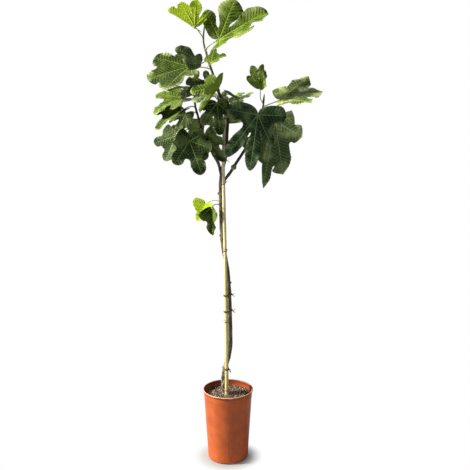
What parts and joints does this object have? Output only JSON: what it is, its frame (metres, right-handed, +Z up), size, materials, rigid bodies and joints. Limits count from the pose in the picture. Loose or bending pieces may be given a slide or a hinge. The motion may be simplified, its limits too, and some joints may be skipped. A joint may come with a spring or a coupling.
{
  "type": "potted fig tree",
  "caption": "Young fig tree with a slim forked trunk and lobed leaves, tied to a bamboo cane, in a tapered plastic nursery pot of soil.",
  "frame": {"origin": "centre of the flat pad under the pot's floor, on the ground", "axes": "+Z up along the pot's axis and the tree; -Y is the side the tree is seen from, with the cane in front of the trunk; +X to that view's right"},
  "size_m": [0.6407, 0.4234, 1.7815],
  "materials": {
    "terracotta_plastic": "satin",
    "potting_soil": "matte",
    "bamboo": "satin",
    "fig_bark": "matte",
    "fig_leaf": "satin",
    "fig_skin": "satin",
    "bud_green": "satin",
    "tie_tape": "satin",
    "tie_string": "matte",
    "tie_wire": "satin"
  },
  "bodies": {
    "root": {"bamboo_cane": "bamboo", "fig_lower": "fig_skin", "fig_upper": "fig_skin", "leader_bud": "bud_green", "leaf_back_high": "fig_leaf", "leaf_back_left": "fig_leaf", "leaf_back_pale": "fig_leaf", "leaf_back_striped": "fig_leaf", "leaf_behind_leader": "fig_leaf", "leaf_behind_right": "fig_leaf", "leaf_broad_left": "fig_leaf", "leaf_curled_right": "fig_leaf", "leaf_dark_centre": "fig_leaf", "leaf_dark_upper": "fig_leaf", "leaf_far_right": "fig_leaf", "leaf_folded_centre": "fig_leaf", "leaf_great_hanging": "fig_leaf", "leaf_grey_right": "fig_leaf", "leaf_left_dark": "fig_leaf", "leaf_left_hanging": "fig_leaf", "leaf_left_low": "fig_leaf", "leaf_left_outer": "fig_leaf", "leaf_netted": "fig_leaf", "leaf_pale_left": "fig_leaf", "leaf_right_hanging": "fig_leaf", "leaf_right_upright": "fig_leaf", "leaf_stem_dark": "fig_leaf", "leaf_stem_pale": "fig_leaf", "leaf_top_left": "fig_leaf", "leaf_top_right": "fig_leaf", "leaf_under_branch": "fig_leaf", "leaf_young_left": "fig_leaf", "left_bud": "bud_green", "pot": "terracotta_plastic", "potting_soil": "potting_soil", "right_bud": "bud_green", "tie_green_high": "tie_tape", "tie_green_low": "tie_tape", "tie_green_mid": "tie_tape", "tie_string": "tie_string", "tie_wire": "tie_wire", "woody_stem": "fig_bark"}
  },
  "joints": []
}
